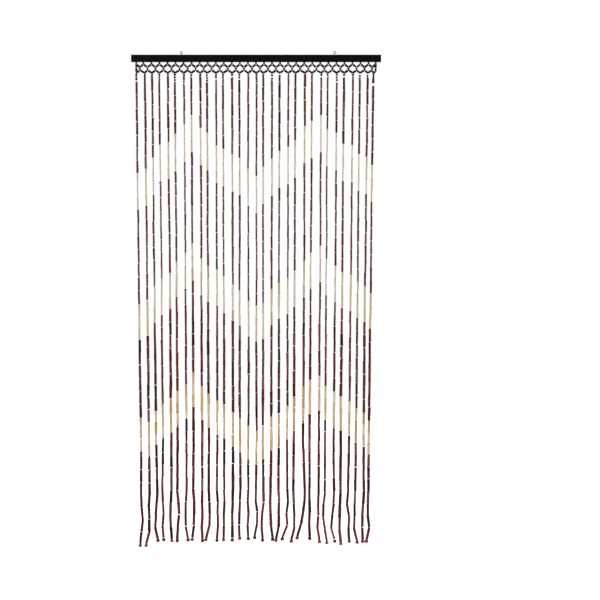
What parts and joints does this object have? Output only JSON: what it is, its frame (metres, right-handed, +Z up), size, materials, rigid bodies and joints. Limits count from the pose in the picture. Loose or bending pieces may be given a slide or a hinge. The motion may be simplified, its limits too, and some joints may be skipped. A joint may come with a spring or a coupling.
{
  "type": "bamboo bead door curtain with header bar",
  "caption": "Door curtain of hanging strings of bamboo tube beads with pale zigzag bands, tied in a diamond heading under a lacquered wooden bar with screw eyes.",
  "frame": {"origin": "where the two wall hooks bear in the screw eyes, halfway along the bar and in the plane of the strings", "axes": "+X along the bar to the viewer's right, -Y the front, +Z up"},
  "size_m": [0.9, 0.015, 1.8499],
  "materials": {
    "black_lacquer": "near-black satin lacquer over straight-grained wood",
    "eye_steel": "dark burnished steel wire",
    "stained_bamboo": "mahogany to near-black stain under satin varnish, with lengthwise fibre",
    "pale_bamboo": "natural bamboo under clear satin varnish, for the zigzag bands",
    "ball_bead": "turned wooden beads, reddish brown stain",
    "bead_cord": "thin grey-brown cord that shows between beads"
  },
  "bodies": {
    "root": {"header_bar": "black_lacquer", "screw_eye_left": "eye_steel", "screw_eye_right": "eye_steel", "strung_curtain": "stained_bamboo"}
  },
  "joints": []
}
